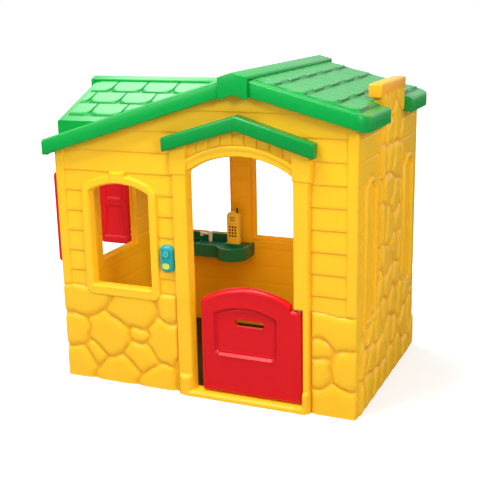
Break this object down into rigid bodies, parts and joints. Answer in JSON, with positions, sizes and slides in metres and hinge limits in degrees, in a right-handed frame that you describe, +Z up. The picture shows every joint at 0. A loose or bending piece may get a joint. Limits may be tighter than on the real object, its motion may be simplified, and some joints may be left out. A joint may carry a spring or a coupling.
{
  "type": "plastic playhouse",
  "caption": "Plastic playhouse with siding and stone-relief walls, green roof with a cross gable, red half door, two shutters, chimney, doorbell and a kitchen shelf with a telephone.",
  "frame": {"origin": "bottom centre of the whole object's box, on the ground", "axes": "+X to the right seen from the front, +Y from the front wall to the back wall, +Z up; the front with the door faces -Y"},
  "size_m": [1.378, 0.886, 1.184],
  "materials": {
    "yellow_plastic": "satin moulded polyethylene",
    "green_plastic": "satin moulded polyethylene",
    "dark_green_plastic": "satin moulded polyethylene",
    "red_plastic": "satin moulded polyethylene",
    "grey_plastic": "matt moulded nylon",
    "teal_plastic": "glossy ABS",
    "lime_plastic": "glossy translucent ABS",
    "white_plastic": "glossy ABS",
    "yellow_phone_plastic": "satin ABS",
    "black_plastic": "matt ABS",
    "circuit_board": "solder-masked laminate",
    "speaker_metal": "pressed steel",
    "zinc_steel": "zinc plated"
  },
  "bodies": {
    "house": {"front_wall": "yellow_plastic", "back_wall": "yellow_plastic", "left_wall": "yellow_plastic", "right_wall": "yellow_plastic", "wall_corner_pegs": "yellow_plastic", "roof_left": "green_plastic", "roof_right": "green_plastic", "ridge_cap": "green_plastic", "cross_gable_ridge_strip": "green_plastic", "door_awning": "green_plastic", "awning_screws": "zinc_steel", "chimney_cap": "yellow_plastic", "door_hinge_pins": "grey_plastic", "shutter_hinge_pins": "grey_plastic", "doorbell_cover": "teal_plastic", "doorbell_box": "grey_plastic", "doorbell_circuit_board": "circuit_board", "doorbell_speaker": "speaker_metal", "doorbell_cells": "zinc_steel", "doorbell_lens": "lime_plastic", "doorbell_spring": "zinc_steel", "kitchen_shelf": "dark_green_plastic", "kitchen_shelf_screws": "zinc_steel"},
    "door": {"door_leaf": "red_plastic"},
    "shutter_front": {"shutter_front": "red_plastic"},
    "shutter_rear": {"shutter_rear": "red_plastic"},
    "doorbell_button": {"doorbell_button": "teal_plastic"},
    "tap": {"kitchen_tap": "white_plastic"},
    "phone": {"phone_handset": "yellow_phone_plastic", "phone_keys": "black_plastic", "phone_antenna": "black_plastic"}
  },
  "joints": [
    {"name": "door_hinge", "type": "hinge", "parent": "house", "child": "door", "pos_m": [0.444, -0.392, 0.2], "axis": [0, 0, 1], "range_deg": [0, 90]},
    {"name": "shutter_front_hinge", "type": "hinge", "parent": "house", "child": "shutter_front", "pos_m": [-0.531, -0.163, 0.5], "axis": [0, 0, 1], "range_deg": [-88, 80]},
    {"name": "shutter_rear_hinge", "type": "hinge", "parent": "house", "child": "shutter_rear", "pos_m": [-0.531, 0.163, 0.5], "axis": [0, 0, 1], "range_deg": [-80, 88]},
    {"name": "tap_swivel", "type": "hinge", "parent": "house", "child": "tap", "pos_m": [-0.24, 0.3386, 0.377], "axis": [0, 0, 1], "range_deg": [-10, 90]},
    {"name": "doorbell_press", "type": "slide", "parent": "house", "child": "doorbell_button", "axis": [0, 1, 0], "range_m": [0, 0.003], "stiffness_N_per_m": 300, "springref_m": -0.002},
    {"name": "phone_lift", "type": "slide", "parent": "house", "child": "phone", "axis": [0, 0, 1], "range_m": [0, 0.06]}
  ]
}
